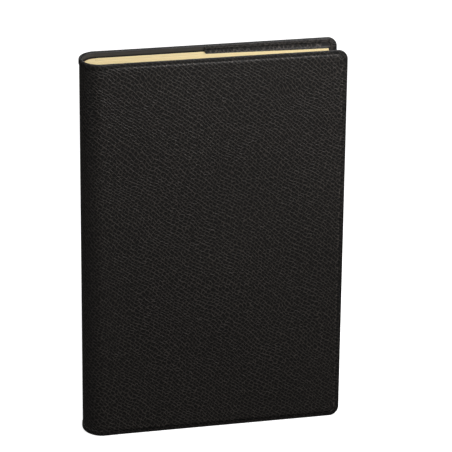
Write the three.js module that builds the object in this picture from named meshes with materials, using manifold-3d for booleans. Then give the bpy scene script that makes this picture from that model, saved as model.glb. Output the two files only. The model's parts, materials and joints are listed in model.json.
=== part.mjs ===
// A desk diary standing upright and closed: a padded leatherette slip cover with a pocket inside each board,
// and a sewn page block whose card covers are tucked into those pockets.
// Millimetres. +Z is up, the front cover faces -Y, the rounded spine is at -X and the fore-edge at +X.
// The origin is the middle of the footprint, on the surface that the diary stands on.
import * as THREE from "three";
import { mergeVertices } from "three/addons/utils/BufferGeometryUtils.js";
import Module from "manifold-3d";

// Driving dimensions of the cover
const COVER_HEIGHT = 216;
const COVER_WIDTH = 144; // from the crown of the spine to the fore-edge
const CORNER_RADIUS = 5.5;
const SKIN = 0.7; // leatherette
const FOAM = 0.35;
const BOARD = 0.6;
const LINING = 0.35;
const SPINE_STIFFENER = 0.4;
const SPINE_REACH = 10; // from the joint line to the crown of the spine, without its hem
const HEM_RISE = 0.35; // how far the hem at the head and tail of the spine stands out
const HEM_HEIGHT = 3.4;
const PRESS_DEPTH = 0.45; // the welded border lies this far below the padded panel
const BORDER = 3; // width of the welded border
const RAMP = 0.8; // width of the slope between border and padded panel
const TURNED_EDGE = 4.2; // width of the turned-in edge round the board
const JOINT_LAND = 2; // the board stops this far short of the joint line
const LINING_INSET = 0.5;
const STIFFENER_INSET = 1;

// Driving dimensions of the pockets and of what is in them
const FLAP = 0.6;
const FLAP_WIDTH = 74; // from the fore-edge of the cover to the pocket's mouth
const FLAP_SLOPE = 0.5;
const WELD_HEAD = 2.4; // welded edge of a flap at its head and tail
const WELD_FORE = 4.2; // and at its fore-edge
const CARD = 0.5;
const BOOKLET = 3.4; // address booklet, over its own cover
const BOOKLET_COVER = 0.25;

// Driving dimensions of the page block
const HEAD_SQUARE = 3.4; // the cover stands out this far past the pages at head and tail
const FORE_SQUARE = 6.8; // and at the fore-edge
const FORE_HOLLOW = 1; // depth of the hollow in the fore-edge of the block
const FORE_SHARE = 0.8; // the block is this much thinner at its fore-edge, where no thread swells it
const SECTION = 1.32; // at the fold
const SECTIONS_A_SIDE = 5;
const ENDPAPER = 0.25;
const BACKING = 0.25;
const THREAD = 0.3;
const THREAD_COUNT = 4;
const THREAD_MARGIN = 28; // from the head or tail of the pages to the nearest thread

// Clearances
const LAYER_GAP = 0.05;
const LEAF_GAP = 0.06;
const SLIP_GAP = 0.1; // round what slips into a pocket
const SEAT_GAP = 0.4; // between a card's edge and the wall of its pocket
const TURN_GAP = 0.15; // between pieces that turn past each other
const GROOVE_GAP = 0.1;

const ARCH_STEPS = 28;
const THREAD_STEPS = 14;
const TAPER_STEPS = 6;
const CORNER_STEPS = 7;
const MERGE_DISTANCE = 1e-4;

// Depths below the outer face of a cover, layer by layer
const foamFrom = SKIN + LAYER_GAP;
const foamTo = foamFrom + FOAM;
const boardFrom = foamTo + LAYER_GAP;
const boardTo = boardFrom + BOARD;
const liningFrom = boardTo + LAYER_GAP;
const liningTo = liningFrom + LINING;
const cardFrom = liningTo + LAYER_GAP;
const cardTo = cardFrom + CARD;
const bookletFrom = cardTo + SLIP_GAP;
const bookletTo = bookletFrom + BOOKLET;
const backingFrom = cardTo + LAYER_GAP;
const backingTo = backingFrom + BACKING;

// Depths below the crown of the spine, where there is no foam or board
const stiffenerAtCrown = SKIN + LAYER_GAP;
const liningAtCrown = stiffenerAtCrown + SPINE_STIFFENER + LAYER_GAP;
const cardAtCrown = liningAtCrown + LINING + LAYER_GAP;
const backingAtCrown = cardAtCrown + CARD + LAYER_GAP;
const sewnAtCrown = backingAtCrown + BACKING + LAYER_GAP;

// Each side: which way its outer face looks, and how deep the pocket's filling reaches
const FRONT = { name: "front", facing: -1, pocketTo: cardTo + SLIP_GAP };
const BACK = { name: "back", facing: 1, pocketTo: bookletTo + SLIP_GAP };
for (const side of [FRONT, BACK]) side.pagesFrom = side.pocketTo + FLAP + TURN_GAP;

const leafCount = 2 * SECTIONS_A_SIDE + 2; // sections and endpapers
const blockDepth =
  2 * SECTIONS_A_SIDE * SECTION + 2 * ENDPAPER + (leafCount - 1) * LEAF_GAP;
const coverDepth = FRONT.pagesFrom + blockDepth + BACK.pagesFrom;
const halfDepth = coverDepth / 2;

// Lines across the width, and the shared heights
const crownX = -COVER_WIDTH / 2 + HEM_RISE;
const jointX = crownX + SPINE_REACH;
const leafX = jointX + TURN_GAP;
const foreX = COVER_WIDTH / 2;
const pageForeX = foreX - FORE_SQUARE;
const pocketInset = WELD_HEAD + FLAP + SEAT_GAP;

const COLOURS = {
  leatherette: { color: 0x2b2927, roughness: 0.62, metalness: 0 },
  lining: { color: 0x3c3936, roughness: 0.5, metalness: 0 },
  foam: { color: 0x6f6d6a, roughness: 0.95, metalness: 0 },
  board: { color: 0x8d8577, roughness: 0.9, metalness: 0 },
  card: { color: 0x1a1a1c, roughness: 0.7, metalness: 0 },
  creamCard: { color: 0xd9c595, roughness: 0.8, metalness: 0 },
  paper: { color: 0xe2cfa0, roughness: 0.85, metalness: 0 },
  kraft: { color: 0xa98a62, roughness: 0.9, metalness: 0 },
  thread: { color: 0xf0eade, roughness: 0.8, metalness: 0 },
};
const materials = Object.fromEntries(
  Object.entries(COLOURS).map(([name, look]) => [
    name,
    new THREE.MeshStandardMaterial({ name, ...look }),
  ]),
);

const wasm = await Module();
wasm.setup();

const diary = new THREE.Group();
diary.name = "desk_diary";

function addPiece(name, geometry, material) {
  const mesh = new THREE.Mesh(geometry, materials[material]);
  mesh.name = name;
  diary.add(mesh);
  return mesh;
}

// A closed three.js geometry as a solid that can be joined and cut.
function solidOf(geometry) {
  const loose = geometry.index ? geometry.toNonIndexed() : geometry;
  const bare = new THREE.BufferGeometry();
  bare.setAttribute("position", loose.getAttribute("position"));
  const merged = mergeVertices(bare, MERGE_DISTANCE);
  return new wasm.Manifold(
    new wasm.Mesh({
      numProp: 3,
      vertProperties: merged.attributes.position.array,
      triVerts: new Uint32Array(merged.index.array),
    }),
  );
}

function geometryOf(solid) {
  const mesh = solid.getMesh();
  const geometry = new THREE.BufferGeometry();
  geometry.setAttribute("position", new THREE.BufferAttribute(mesh.vertProperties, 3));
  geometry.setIndex(new THREE.BufferAttribute(mesh.triVerts, 1));
  return geometry;
}

// The y range of a layer that lies between two depths below a side's outer face.
function layerRange(side, from, to) {
  const outer = side.facing * (halfDepth - from);
  const inner = side.facing * (halfDepth - to);
  return [Math.min(outer, inner), Math.max(outer, inner)];
}

// A flat panel's outline as [x, z] points, with rounded corners at the fore-edge only.
function panelOutline({ left, right, inset, radius }) {
  const bottom = inset;
  const top = COVER_HEIGHT - inset;
  if (radius <= 0) return [[left, bottom], [right, bottom], [right, top], [left, top]];
  const points = [[left, bottom]];
  const corners = [
    { z: bottom + radius, start: -Math.PI / 2 },
    { z: top - radius, start: 0 },
  ];
  for (const corner of corners)
    for (let step = 0; step <= CORNER_STEPS; step++) {
      const angle = corner.start + ((Math.PI / 2) * step) / CORNER_STEPS;
      points.push([
        right - radius + radius * Math.cos(angle),
        corner.z + radius * Math.sin(angle),
      ]);
    }
  points.push([left, top]);
  return points;
}

// A solid between one outline at yLow and another, with as many points, at yHigh.
function taperedPanel(outlineLow, yLow, outlineHigh, yHigh) {
  const count = outlineLow.length;
  const positions = [
    ...outlineLow.flatMap(([x, z]) => [x, yLow, z]),
    ...outlineHigh.flatMap(([x, z]) => [x, yHigh, z]),
  ];
  const index = [];
  for (let i = 1; i < count - 1; i++) {
    index.push(0, i, i + 1);
    index.push(count, count + i + 1, count + i);
  }
  for (let i = 0; i < count; i++) {
    const next = (i + 1) % count;
    index.push(i, count + i, count + next);
    index.push(i, count + next, next);
  }
  const geometry = new THREE.BufferGeometry();
  geometry.setAttribute("position", new THREE.Float32BufferAttribute(positions, 3));
  geometry.setIndex(index);
  return geometry;
}

function flatPanel(side, from, to, outline) {
  const [yLow, yHigh] = layerRange(side, from, to);
  return taperedPanel(outline, yLow, outline, yHigh);
}

// A raised panel: its outer outline is at the shallower depth.
function raisedPanel(side, from, to, outerOutline, innerOutline) {
  const [yLow, yHigh] = layerRange(side, from, to);
  return side.facing < 0
    ? taperedPanel(outerOutline, yLow, innerOutline, yHigh)
    : taperedPanel(innerOutline, yLow, outerOutline, yHigh);
}

// Half an ellipse round the spine as [x, y] points, from the front joint to the back joint.
function archPoints(crownDepth, sideDepth, steps, extraReach = 0) {
  const reach = SPINE_REACH - crownDepth + extraReach;
  const halfWidth = halfDepth - sideDepth;
  return Array.from({ length: steps + 1 }, (_, step) => {
    const angle = (Math.PI * step) / steps;
    return [jointX - reach * Math.sin(angle), -halfWidth * Math.cos(angle)];
  });
}

function uprightPrism(points, zFrom, zTo) {
  const shape = new THREE.Shape(points.map(([x, y]) => new THREE.Vector2(x, y)));
  const prism = new THREE.ExtrudeGeometry(shape, {
    depth: zTo - zFrom,
    bevelEnabled: false,
    steps: 1,
  });
  return prism.translate(0, 0, zFrom);
}

// A curved layer round the spine, between two arches.
function archShell(outer, inner, zFrom, zTo) {
  return uprightPrism([...outer, ...[...inner].reverse()], zFrom, zTo);
}

function spineSkin() {
  const inner = archPoints(SKIN, SKIN, ARCH_STEPS);
  const body = archShell(archPoints(0, 0, ARCH_STEPS), inner, 0, COVER_HEIGHT);
  const hemArch = archPoints(0, 0, ARCH_STEPS, HEM_RISE);
  const tailHem = archShell(hemArch, inner, 0, HEM_HEIGHT);
  const headHem = archShell(hemArch, inner, COVER_HEIGHT - HEM_HEIGHT, COVER_HEIGHT);
  return geometryOf(solidOf(body).add(solidOf(tailHem)).add(solidOf(headHem)));
}

function addSpine() {
  addPiece("spine_skin", spineSkin(), "leatherette");
  addPiece(
    "spine_stiffener",
    archShell(
      archPoints(stiffenerAtCrown, foamFrom, ARCH_STEPS),
      archPoints(stiffenerAtCrown + SPINE_STIFFENER, boardTo, ARCH_STEPS),
      STIFFENER_INSET,
      COVER_HEIGHT - STIFFENER_INSET,
    ),
    "board",
  );
  addPiece(
    "spine_lining",
    archShell(
      archPoints(liningAtCrown, liningFrom, ARCH_STEPS),
      archPoints(liningAtCrown + LINING, liningTo, ARCH_STEPS),
      LINING_INSET,
      COVER_HEIGHT - LINING_INSET,
    ),
    "lining",
  );
}

// The sewn and glued backs of the sections, with their threads and the strips over them.
function addBinding() {
  const zFrom = HEAD_SQUARE;
  const zTo = COVER_HEIGHT - HEAD_SQUARE;
  addPiece(
    "card_cover_spine",
    archShell(
      archPoints(cardAtCrown, cardFrom, ARCH_STEPS),
      archPoints(cardAtCrown + CARD, cardTo, ARCH_STEPS),
      pocketInset,
      COVER_HEIGHT - pocketInset,
    ),
    "card",
  );
  addPiece(
    "backing_strip",
    archShell(
      archPoints(backingAtCrown, backingFrom, ARCH_STEPS),
      archPoints(backingAtCrown + BACKING, backingTo, ARCH_STEPS),
      zFrom,
      zTo,
    ),
    "kraft",
  );

  const sewnSide = backingTo + LAYER_GAP;
  let sewnBack = solidOf(uprightPrism(archPoints(sewnAtCrown, sewnSide, ARCH_STEPS), zFrom, zTo));
  const pitch = (zTo - zFrom - 2 * THREAD_MARGIN) / (THREAD_COUNT - 1);
  for (let number = 0; number < THREAD_COUNT; number++) {
    const z = zFrom + THREAD_MARGIN + number * pitch;
    const threadOuter = [sewnAtCrown + LAYER_GAP, sewnSide + LAYER_GAP];
    const threadInner = threadOuter.map((depth) => depth + THREAD);
    const groove = archShell(
      archPoints(sewnAtCrown - THREAD, sewnSide - THREAD, ARCH_STEPS),
      archPoints(threadInner[0] + GROOVE_GAP, threadInner[1] + GROOVE_GAP, ARCH_STEPS),
      z - THREAD / 2 - GROOVE_GAP,
      z + THREAD / 2 + GROOVE_GAP,
    );
    sewnBack = sewnBack.subtract(solidOf(groove));
    addPiece(
      `sewing_thread_${number + 1}`,
      archShell(
        archPoints(...threadOuter, THREAD_STEPS),
        archPoints(...threadInner, THREAD_STEPS),
        z - THREAD / 2,
        z + THREAD / 2,
      ),
      "thread",
    );
  }
  addPiece("sewn_back", geometryOf(sewnBack), "paper");
}

function coverOutline(inset, radius = CORNER_RADIUS - inset, left = jointX + TURN_GAP) {
  return panelOutline({ left, right: foreX - inset, inset, radius: Math.max(radius, 0) });
}

// The leatherette of one board: a padded panel inside a welded border, hollow behind for foam and board.
function coverSkin(side) {
  const border = flatPanel(side, PRESS_DEPTH, liningFrom - LAYER_GAP, coverOutline(0));
  const padded = raisedPanel(
    side,
    0,
    PRESS_DEPTH,
    coverOutline(BORDER + RAMP),
    coverOutline(BORDER),
  );
  const recess = flatPanel(side, SKIN, liningTo, boardOutline(0));
  return geometryOf(solidOf(border).add(solidOf(padded)).subtract(solidOf(recess)));
}

function boardOutline(clearance) {
  const inset = TURNED_EDGE + clearance;
  return coverOutline(inset, CORNER_RADIUS - TURNED_EDGE, leafX + JOINT_LAND + clearance);
}

function pocketFlap(side) {
  const left = foreX - FLAP_WIDTH;
  const weld = (head, fore, radius, edge = left) =>
    panelOutline({ left: edge, right: foreX - fore, inset: head, radius });
  const rim = flatPanel(
    side,
    liningTo + LAYER_GAP,
    liningTo + LAYER_GAP + FLAP,
    weld(LINING_INSET, LINING_INSET, CORNER_RADIUS - LINING_INSET),
  );
  const radius = CORNER_RADIUS - WELD_FORE;
  const raised = raisedPanel(
    side,
    liningTo + LAYER_GAP + FLAP / 2,
    side.pocketTo + FLAP,
    weld(WELD_HEAD, WELD_FORE, radius),
    weld(WELD_HEAD + FLAP_SLOPE, WELD_FORE + FLAP_SLOPE, radius),
  );
  const hollow = flatPanel(
    side,
    liningTo,
    side.pocketTo,
    weld(WELD_HEAD + FLAP, WELD_FORE + FLAP, radius, left - FLAP),
  );
  return geometryOf(solidOf(rim).add(solidOf(raised)).subtract(solidOf(hollow)));
}

function addCover(side) {
  const name = (piece) => `${side.name}_${piece}`;
  addPiece(name("cover_skin"), coverSkin(side), "leatherette");
  addPiece(
    name("cover_foam"),
    flatPanel(side, foamFrom, foamTo, boardOutline(SLIP_GAP)),
    "foam",
  );
  addPiece(
    name("cover_board"),
    flatPanel(side, boardFrom, boardTo, boardOutline(SLIP_GAP)),
    "board",
  );
  addPiece(
    name("cover_lining"),
    flatPanel(side, liningFrom, liningTo, coverOutline(LINING_INSET)),
    "lining",
  );
  addPiece(name("pocket_flap"), pocketFlap(side), "leatherette");
  const cardOutline = panelOutline({
    left: leafX,
    right: pageForeX,
    inset: pocketInset,
    radius: 0,
  });
  addPiece(name("card_cover"), flatPanel(side, cardFrom, cardTo, cardOutline), "card");
}

// The address booklet in the back pocket: leaves inside a folded card cover.
function addBooklet() {
  const outline = (left) =>
    panelOutline({ left, right: pageForeX, inset: pocketInset, radius: 0 });
  const leavesLeft = leafX + BOOKLET_COVER + LAYER_GAP;
  const leavesFrom = bookletFrom + BOOKLET_COVER + LAYER_GAP;
  const leavesTo = bookletTo - BOOKLET_COVER - LAYER_GAP;
  const folded = solidOf(flatPanel(BACK, bookletFrom, bookletTo, outline(leafX)));
  const inside = flatPanel(
    BACK,
    bookletFrom + BOOKLET_COVER,
    bookletTo - BOOKLET_COVER,
    panelOutline({
      left: leafX + BOOKLET_COVER,
      right: foreX,
      inset: pocketInset - FLAP,
      radius: 0,
    }),
  );
  addPiece("booklet_cover", geometryOf(folded.subtract(solidOf(inside))), "creamCard");
  addPiece(
    "booklet_leaves",
    flatPanel(BACK, leavesFrom, leavesTo, outline(leavesLeft)),
    "paper",
  );
}

// How much of its depth the block keeps at a place across the width: all of it as far as the pocket's mouth,
// then less and less towards the fore-edge.
function depthShare(x) {
  const mouth = foreX - FLAP_WIDTH;
  const past = Math.max(0, (x - mouth) / (pageForeX - mouth));
  return 1 - (1 - FORE_SHARE) * past * past * (3 - 2 * past);
}

// Endpapers and sections from front to back. The fore-edge of the block is slightly hollow.
function addPages() {
  const blockFrom = -halfDepth + FRONT.pagesFrom;
  const mouth = foreX - FLAP_WIDTH;
  const leaves = [{ name: "front_endpaper", thickness: ENDPAPER }];
  for (let number = 1; number <= 2 * SECTIONS_A_SIDE; number++)
    leaves.push({
      name: `page_section_${String(number).padStart(2, "0")}`,
      thickness: SECTION,
    });
  leaves.push({ name: "back_endpaper", thickness: ENDPAPER });
  let depth = 0;
  for (const { name, thickness } of leaves) {
    const across = (2 * depth + thickness) / blockDepth - 1;
    const right = pageForeX - FORE_HOLLOW * (1 - across * across);
    const places = [leafX];
    for (let step = 0; step <= TAPER_STEPS; step++)
      places.push(mouth + ((right - mouth) * step) / TAPER_STEPS);
    const side = (from) => places.map((x) => [x, blockFrom + from * depthShare(x)]);
    const outline = [...side(depth), ...side(depth + thickness).reverse()];
    addPiece(name, uprightPrism(outline, HEAD_SQUARE, COVER_HEIGHT - HEAD_SQUARE), "paper");
    depth += thickness + LEAF_GAP;
  }
}

addSpine();
addBinding();
addCover(FRONT);
addCover(BACK);
addBooklet();
addPages();

export default diary;
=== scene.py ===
# A desk diary in grained leatherette, standing upright and closed.
# Metres. The front cover faces -Y, the rounded spine is at -X, the diary stands on z = 0.

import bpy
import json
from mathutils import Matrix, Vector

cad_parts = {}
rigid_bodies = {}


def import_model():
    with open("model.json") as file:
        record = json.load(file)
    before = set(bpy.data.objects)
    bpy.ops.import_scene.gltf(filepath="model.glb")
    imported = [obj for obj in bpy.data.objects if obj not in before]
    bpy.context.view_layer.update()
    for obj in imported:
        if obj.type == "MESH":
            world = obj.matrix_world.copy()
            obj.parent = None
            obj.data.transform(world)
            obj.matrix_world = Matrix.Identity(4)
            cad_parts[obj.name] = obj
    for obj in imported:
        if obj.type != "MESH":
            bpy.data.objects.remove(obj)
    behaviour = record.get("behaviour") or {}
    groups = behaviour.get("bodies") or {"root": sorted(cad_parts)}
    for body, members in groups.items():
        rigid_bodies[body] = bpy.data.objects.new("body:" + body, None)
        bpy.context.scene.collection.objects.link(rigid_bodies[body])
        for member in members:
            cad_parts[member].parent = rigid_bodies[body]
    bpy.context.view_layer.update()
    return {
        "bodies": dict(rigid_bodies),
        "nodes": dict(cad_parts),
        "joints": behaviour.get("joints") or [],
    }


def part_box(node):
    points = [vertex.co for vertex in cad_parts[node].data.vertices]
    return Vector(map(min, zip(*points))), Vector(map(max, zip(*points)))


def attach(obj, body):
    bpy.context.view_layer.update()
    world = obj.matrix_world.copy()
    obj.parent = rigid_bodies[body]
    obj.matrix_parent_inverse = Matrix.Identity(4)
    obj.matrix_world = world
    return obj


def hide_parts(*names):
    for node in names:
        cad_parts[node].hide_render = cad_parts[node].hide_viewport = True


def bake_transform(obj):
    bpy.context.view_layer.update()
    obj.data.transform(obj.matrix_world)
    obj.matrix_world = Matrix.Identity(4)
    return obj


bl_info = {
    "name": "Desk diary",
    "version": (1, 0, 0),
    "blender": (4, 5, 0),
    "location": "3D View > Sidebar > Diary",
    "description": "Builds the visible surfaces of a leatherette desk diary round its packed frame",
    "category": "Object",
}

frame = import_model()

import json
import math
import random

import bmesh
import bpy
from mathutils import Matrix, Vector

MM = 0.001

# Places that the frame gives
SPINE_LOW, SPINE_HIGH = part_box("spine_skin")
COVER_LOW, COVER_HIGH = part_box("front_cover_skin")
CARD_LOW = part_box("front_card_cover")[0]
FLAP_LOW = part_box("front_pocket_flap")[0]
HINGES = {joint["child"]: Vector(joint["pos_m"]) for joint in frame["joints"]}
JOINT_X = HINGES["front_cover"].x
FORE_X = COVER_HIGH.x
HEIGHT = SPINE_HIGH.z
HALF_DEPTH = -COVER_LOW.y
SECTION_NAMES = sorted(name for name in frame["nodes"] if name.startswith("page_section_"))
THREAD_NAMES = sorted(name for name in frame["nodes"] if name.startswith("sewing_thread_"))
PAGE_BODIES = sorted(name for name in frame["bodies"] if name.startswith("pages_"))

# The flexible land beside the spine ends just before the board
LAND_END_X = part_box("front_cover_board")[0].x - 0.1 * MM

# Gap between two sections, or a section and its endpaper
SECTION_GAP = 0.06 * MM


class DiaryCoverSizes(bpy.types.PropertyGroup):
    """Sizes of the leatherette cover"""

    corner_radius: bpy.props.FloatProperty(
        name="Corner radius", description="Radius of the cover's corners at the fore-edge",
        default=5.5 * MM, unit="LENGTH", subtype="DISTANCE")
    skin: bpy.props.FloatProperty(
        name="Leatherette", description="Thickness of the leatherette",
        default=0.7 * MM, unit="LENGTH", subtype="DISTANCE")
    press_depth: bpy.props.FloatProperty(
        name="Pressed depth", description="How far the welded border lies below the padded panel",
        default=0.45 * MM, unit="LENGTH", subtype="DISTANCE")
    border_head: bpy.props.FloatProperty(
        name="Head border", description="Width of the welded border at head and tail",
        default=2.15 * MM, unit="LENGTH", subtype="DISTANCE")
    border_fore: bpy.props.FloatProperty(
        name="Fore-edge border", description="Width of the welded border at the fore-edge",
        default=2.6 * MM, unit="LENGTH", subtype="DISTANCE")
    border_fade: bpy.props.FloatProperty(
        name="Border fade", description="Length over which the pressed border fades out at the joint",
        default=11.0 * MM, unit="LENGTH", subtype="DISTANCE")
    turned_edge: bpy.props.FloatProperty(
        name="Turned edge", description="How far the leatherette is turned in over the board",
        default=4.2 * MM, unit="LENGTH", subtype="DISTANCE")
    spine_reach: bpy.props.FloatProperty(
        name="Spine reach", description="From the joint line to the crown of the spine",
        default=10.0 * MM, unit="LENGTH", subtype="DISTANCE")
    hem_height: bpy.props.FloatProperty(
        name="Hem height", description="Height of the hem at the spine's head and tail",
        default=2.95 * MM, unit="LENGTH", subtype="DISTANCE")
    hem_rise: bpy.props.FloatProperty(
        name="Hem rise", description="How far the hem stands out at the crown of the spine",
        default=0.35 * MM, unit="LENGTH", subtype="DISTANCE")
    inner_rise: bpy.props.FloatProperty(
        name="Inner rise", description="How much nearer the outside the inner layers are at the crown",
        default=0.6 * MM, unit="LENGTH", subtype="DISTANCE")


class DiaryPocketSizes(bpy.types.PropertyGroup):
    """Sizes of the two pocket flaps"""

    flap: bpy.props.FloatProperty(
        name="Flap", description="Thickness of a pocket flap",
        default=0.6 * MM, unit="LENGTH", subtype="DISTANCE")
    weld_head: bpy.props.FloatProperty(
        name="Head weld", description="Width of the welded edge at head and tail",
        default=2.4 * MM, unit="LENGTH", subtype="DISTANCE")
    weld_fore: bpy.props.FloatProperty(
        name="Fore-edge weld", description="Width of the welded edge at the fore-edge",
        default=4.2 * MM, unit="LENGTH", subtype="DISTANCE")


class DiaryPageSizes(bpy.types.PropertyGroup):
    """Sizes of the leaves"""

    leaves_a_section: bpy.props.IntProperty(
        name="Leaves a section", description="Leaves in one sewn section", default=18, min=2)
    booklet_leaves: bpy.props.IntProperty(
        name="Booklet leaves", description="Leaves in the booklet", default=34, min=2)
    leaf_share: bpy.props.FloatProperty(
        name="Leaf share", description="Share of the pitch that paper fills",
        default=0.86, subtype="FACTOR")
    gutter: bpy.props.FloatProperty(
        name="Gutter", description="Length over which an opened leaf bends",
        default=12.0 * MM, unit="LENGTH", subtype="DISTANCE")
    fore_share: bpy.props.FloatProperty(
        name="Fore-edge share",
        description="Depth of the block at its fore-edge, as a share of its depth at the folds",
        default=0.8, subtype="FACTOR")
    hollow: bpy.props.FloatProperty(
        name="Fore-edge hollow", description="Depth of the hollow in the block's fore-edge",
        default=1.0 * MM, unit="LENGTH", subtype="DISTANCE")
    unevenness: bpy.props.FloatProperty(
        name="Unevenness", description="How unevenly the leaves end",
        default=0.05 * MM, unit="LENGTH", subtype="DISTANCE")
    notch_depth: bpy.props.FloatProperty(
        name="Notch depth", description="How deep a fold is notched where a thread passes",
        default=0.52 * MM, unit="LENGTH", subtype="DISTANCE")
    notch_width: bpy.props.FloatProperty(
        name="Notch width", description="Width of the notch for a thread",
        default=0.54 * MM, unit="LENGTH", subtype="DISTANCE")


class DiaryFinishes(bpy.types.PropertyGroup):
    """Colours and grain"""

    pit: bpy.props.FloatVectorProperty(
        name="Grain pits", description="Colour of the pits of the grain", subtype="COLOR",
        default=(0.0101, 0.0092, 0.0086))
    ridge: bpy.props.FloatVectorProperty(
        name="Grain ridges", description="Colour of the fine ridges of the grain", subtype="COLOR",
        default=(0.0615, 0.0536, 0.0482))
    pressed: bpy.props.FloatVectorProperty(
        name="Pressed edge", description="Colour where heat has pressed the leatherette",
        subtype="COLOR", default=(0.0065, 0.0062, 0.0062))
    lining: bpy.props.FloatVectorProperty(
        name="Lining", description="Colour of the lining", subtype="COLOR",
        default=(0.033, 0.0335, 0.0375))
    card: bpy.props.FloatVectorProperty(
        name="Black card", description="Colour of the card covers", subtype="COLOR",
        default=(0.0060, 0.0062, 0.0085))
    paper: bpy.props.FloatVectorProperty(
        name="Paper", description="Colour of the leaves", subtype="COLOR",
        default=(0.78, 0.665, 0.405))
    paper_light: bpy.props.FloatVectorProperty(
        name="Light paper", description="What the lightest leaves lean to", subtype="COLOR",
        default=(0.86, 0.78, 0.58))
    paper_shade: bpy.props.FloatVectorProperty(
        name="Paper shade", description="What the darkest leaves keep of the paper's colour",
        subtype="COLOR", default=(0.83, 0.78, 0.66))
    grain_pitch: bpy.props.FloatProperty(
        name="Grain pitch", description="Distance between the pits of the grain",
        default=2.12 * MM, unit="LENGTH", subtype="DISTANCE")
    grain_slant: bpy.props.FloatProperty(
        name="Grain slant", description="How far the rows of the grain fall to the right",
        default=math.radians(38), unit="ROTATION", subtype="ANGLE")


class DiaryStudio(bpy.types.PropertyGroup):
    """Camera and light"""

    lens: bpy.props.FloatProperty(
        name="Lens", description="Focal length on a 36 mm sensor", default=220.216)
    turn: bpy.props.FloatProperty(
        name="Turn", description="How far the diary is turned from the camera",
        default=0.227423, unit="ROTATION", subtype="ANGLE")
    tilt: bpy.props.FloatProperty(
        name="Tilt", description="How far the camera looks down",
        default=0.380224, unit="ROTATION", subtype="ANGLE")
    roll: bpy.props.FloatProperty(
        name="Roll", description="Roll of the camera",
        default=0.010432, unit="ROTATION", subtype="ANGLE")
    distance: bpy.props.FloatProperty(
        name="Distance", description="From the camera to the spine's middle",
        default=1.49833, unit="LENGTH", subtype="DISTANCE")
    aside: bpy.props.FloatProperty(
        name="Aside", description="How far right of the spine's middle the camera aims",
        default=78.742 * MM, unit="LENGTH", subtype="DISTANCE")
    above: bpy.props.FloatProperty(
        name="Above", description="How far above the spine's middle the camera aims",
        default=12.258 * MM, unit="LENGTH", subtype="DISTANCE")


# Small helpers for node trees
class Nodes:
    """Adds nodes to a tree and links them"""

    def __init__(self, tree):
        self.tree = tree

    def add(self, kind, inputs=None, **settings):
        node = self.tree.nodes.new(kind)
        for key, value in settings.items():
            setattr(node, key, value)
        for key, value in (inputs or {}).items():
            self.feed(node.inputs[key], value)
        return node

    def feed(self, socket, value):
        if isinstance(value, bpy.types.NodeSocket):
            self.tree.links.new(value, socket)
        else:
            socket.default_value = value

    def math(self, operation, *values):
        node = self.tree.nodes.new("ShaderNodeMath")
        node.operation = operation
        for socket, value in zip(node.inputs, values):
            self.feed(socket, value)
        return node.outputs[0]

    def plus(self, first, second):
        return self.math("ADD", first, second)

    def minus(self, first, second):
        return self.math("SUBTRACT", first, second)

    def times(self, first, second):
        return self.math("MULTIPLY", first, second)

    def vector_math(self, operation, first, second):
        node = self.add("ShaderNodeVectorMath", operation=operation)
        self.feed(node.inputs[0], first)
        self.feed(node.inputs["Scale" if operation == "SCALE" else 1], second)
        return node.outputs[0]

    def axes(self, vector):
        return self.add("ShaderNodeSeparateXYZ", {"Vector": vector}).outputs

    def vector(self, **parts):
        return self.add("ShaderNodeCombineXYZ", parts).outputs[0]

    def remap(self, value, low, high, to_low=0.0, to_high=1.0, smooth=True):
        node = self.tree.nodes.new("ShaderNodeMapRange")
        node.interpolation_type = "SMOOTHSTEP" if smooth else "LINEAR"
        for socket, item in zip(node.inputs, (value, low, high, to_low, to_high)):
            self.feed(socket, item)
        return node.outputs[0]

    def band(self, value, rise, fall):
        """1 between two levels, with a soft rise before the first and a soft fall after the second."""
        return self.times(self.remap(value, *rise), self.remap(value, *fall, 1.0, 0.0))

    def mix(self, share, first, second, blend="MIX"):
        node = self.tree.nodes.new("ShaderNodeMix")
        node.data_type = "RGBA"
        node.blend_type = blend
        # A mix node has its colour sockets after those for numbers and vectors
        for index, value in ((0, share), (6, first), (7, second)):
            self.feed(node.inputs[index], value)
        return node.outputs[2]

    def noise(self, vector, scale, detail=2.0, roughness=0.5, output="Fac"):
        node = self.add("ShaderNodeTexNoise", {
            "Vector": vector, "Scale": scale, "Detail": detail, "Roughness": roughness})
        return node.outputs[output]

    def mapping(self, vector, rotation=(0, 0, 0), scale=(1, 1, 1)):
        node = self.add("ShaderNodeMapping", {
            "Vector": vector, "Rotation": rotation, "Scale": scale})
        return node.outputs[0]

    def object_place(self):
        return self.add("ShaderNodeTexCoord").outputs["Object"]

    def attribute(self, name):
        return self.add("ShaderNodeAttribute", attribute_name=name).outputs["Fac"]


def rgba(colour, factor=1.0):
    return (*(channel * factor for channel in colour), 1.0)


def new_material(name, roughness, specular=0.5):
    """A material with a principled shader, and the helper that fills its tree."""
    made = bpy.data.materials.new(name)
    made.use_nodes = True
    tree = made.node_tree
    shader = next(node for node in tree.nodes if node.type == "BSDF_PRINCIPLED")
    shader.inputs["Roughness"].default_value = roughness
    shader.inputs["Specular IOR Level"].default_value = specular
    return made, shader, Nodes(tree)


def add_bump(nodes, shader, height, distance, strength):
    bump = nodes.add("ShaderNodeBump", {
        "Strength": strength, "Distance": distance, "Height": height})
    nodes.feed(shader.inputs["Normal"], bump.outputs["Normal"])


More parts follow.
